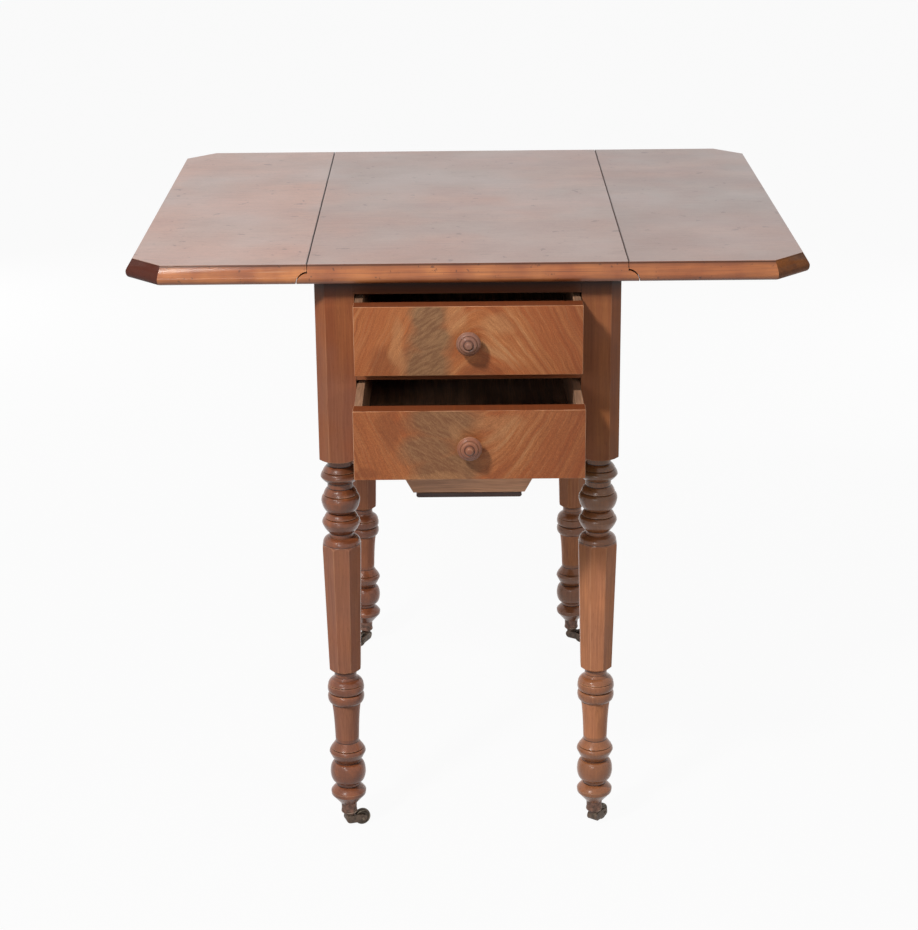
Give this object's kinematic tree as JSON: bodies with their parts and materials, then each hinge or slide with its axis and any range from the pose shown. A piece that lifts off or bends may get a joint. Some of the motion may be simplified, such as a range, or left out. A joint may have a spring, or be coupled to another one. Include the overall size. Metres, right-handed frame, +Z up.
{
  "type": "drop-leaf work table",
  "caption": "Drop-leaf mahogany work table with drawers, a sliding tapered wool box under them, and turned and octagonal legs on castors.",
  "frame": {"origin": "on the floor, under the middle of the box round the whole table as pictured, with both drawers pulled out", "axes": "+X to the right as one faces the drawers, +Y to the back, +Z up"},
  "size_m": [0.782, 0.769, 0.73],
  "materials": {
    "top": "french-polished mahogany, worn to a greyish satin",
    "mahogany": "polished solid mahogany",
    "veneer": "polished flame veneer",
    "knob": "polished turned mahogany",
    "lining": "bare drawer linings and runners, darkened by age",
    "wool_box": "plain mahogany boards with little polish left",
    "ebonised_edge": "stained dark",
    "brass": "tarnished cast brass",
    "iron": "dull wrought iron"
  },
  "bodies": {
    "table": {"top_centre": "top", "leg_front_left": "mahogany", "leg_front_right": "mahogany", "leg_back_left": "mahogany", "leg_back_right": "mahogany", "front_top_rail": "mahogany", "drawer_divider_rail": "mahogany", "front_bottom_rail": "mahogany", "side_panel_right": "mahogany", "side_panel_left": "mahogany", "back_panel": "mahogany", "top_drawer_runner_right": "lining", "top_drawer_runner_left": "lining", "bottom_drawer_runner_right": "lining", "bottom_drawer_runner_left": "lining", "wool_box_bearer_right": "lining", "wool_box_bearer_left": "lining", "hinge_top_plate_front_right": "iron", "hinge_top_plate_front_left": "iron", "hinge_top_plate_back_right": "iron", "hinge_top_plate_back_left": "iron", "castor_cup_front_left": "brass", "castor_cup_front_right": "brass", "castor_cup_back_left": "brass", "castor_cup_back_right": "brass"},
    "leaf_left": {"leaf_left": "top", "hinge_leaf_plate_front_left": "iron", "hinge_leaf_plate_back_left": "iron"},
    "leaf_right": {"leaf_right": "top", "hinge_leaf_plate_front_right": "iron", "hinge_leaf_plate_back_right": "iron"},
    "fly_bracket_left": {"fly_bracket_left": "mahogany"},
    "fly_bracket_right": {"fly_bracket_right": "mahogany"},
    "top_drawer": {"top_drawer_front": "veneer", "top_drawer_side_right": "lining", "top_drawer_side_left": "lining", "top_drawer_back": "lining", "top_drawer_bottom": "lining", "top_drawer_knob": "knob"},
    "bottom_drawer": {"bottom_drawer_front": "veneer", "bottom_drawer_side_right": "lining", "bottom_drawer_side_left": "lining", "bottom_drawer_back": "lining", "bottom_drawer_bottom": "lining", "bottom_drawer_knob": "knob"},
    "wool_box": {"wool_box_front": "wool_box", "wool_box_back": "wool_box", "wool_box_side_right": "wool_box", "wool_box_side_left": "wool_box", "wool_box_bottom": "ebonised_edge"},
    "castor_horn_front_left": {"castor_horn_front_left": "brass"},
    "castor_wheel_front_left": {"castor_wheel_front_left": "brass"},
    "castor_horn_front_right": {"castor_horn_front_right": "brass"},
    "castor_wheel_front_right": {"castor_wheel_front_right": "brass"},
    "castor_horn_back_left": {"castor_horn_back_left": "brass"},
    "castor_wheel_back_left": {"castor_wheel_back_left": "brass"},
    "castor_horn_back_right": {"castor_horn_back_right": "brass"},
    "castor_wheel_back_right": {"castor_wheel_back_right": "brass"}
  },
  "joints": [
    {"name": "leaf_left_hinge", "type": "hinge", "parent": "table", "child": "leaf_left", "pos_m": [-0.1805, 0.0585, 0.708], "axis": [0, 1, 0], "range_deg": [-90, 0]},
    {"name": "leaf_right_hinge", "type": "hinge", "parent": "table", "child": "leaf_right", "pos_m": [0.1805, 0.0585, 0.708], "axis": [0, -1, 0], "range_deg": [-90, 0]},
    {"name": "fly_bracket_left_pivot", "type": "hinge", "parent": "table", "child": "fly_bracket_left", "pos_m": [-0.164, 0.1385, 0.678], "axis": [0, 0, -1], "range_deg": [0, 90]},
    {"name": "fly_bracket_right_pivot", "type": "hinge", "parent": "table", "child": "fly_bracket_right", "pos_m": [0.164, 0.1385, 0.678], "axis": [0, 0, 1], "range_deg": [0, 90]},
    {"name": "top_drawer_slide", "type": "slide", "parent": "table", "child": "top_drawer", "axis": [0, -1, 0], "range_m": [-0.051, 0.249]},
    {"name": "bottom_drawer_slide", "type": "slide", "parent": "table", "child": "bottom_drawer", "axis": [0, -1, 0], "range_m": [-0.114, 0.186]},
    {"name": "wool_box_slide", "type": "slide", "parent": "table", "child": "wool_box", "axis": [0, -1, 0], "range_m": [0, 0.2]},
    {"name": "castor_swivel_front_left", "type": "hinge", "parent": "table", "child": "castor_horn_front_left", "pos_m": [-0.1525, -0.224, 0.0173], "axis": [0, 0, 1], "continuous": true},
    {"name": "castor_wheel_spin_front_left", "type": "hinge", "parent": "castor_horn_front_left", "child": "castor_wheel_front_left", "pos_m": [-0.137, -0.21836, 0.0103], "axis": [-0.342, 0.9397, 0], "continuous": true},
    {"name": "castor_swivel_front_right", "type": "hinge", "parent": "table", "child": "castor_horn_front_right", "pos_m": [0.1525, -0.224, 0.0173], "axis": [0, 0, 1], "continuous": true},
    {"name": "castor_wheel_spin_front_right", "type": "hinge", "parent": "castor_horn_front_right", "child": "castor_wheel_front_right", "pos_m": [0.1622, -0.21065, 0.0103], "axis": [-0.809, 0.5878, 0], "continuous": true},
    {"name": "castor_swivel_back_left", "type": "hinge", "parent": "table", "child": "castor_horn_back_left", "pos_m": [-0.1525, 0.341, 0.0173], "axis": [0, 0, 1], "continuous": true},
    {"name": "castor_wheel_spin_back_left", "type": "hinge", "parent": "castor_horn_back_left", "child": "castor_wheel_back_left", "pos_m": [-0.15999, 0.3263, 0.0103], "axis": [0.891, -0.454, 0], "continuous": true},
    {"name": "castor_swivel_back_right", "type": "hinge", "parent": "table", "child": "castor_horn_back_right", "pos_m": [0.1525, 0.341, 0.0173], "axis": [0, 0, 1], "continuous": true},
    {"name": "castor_wheel_spin_back_right", "type": "hinge", "parent": "castor_horn_back_right", "child": "castor_wheel_back_right", "pos_m": [0.16679, 0.33275, 0.0103], "axis": [0.5, 0.866, 0], "continuous": true}
  ]
}
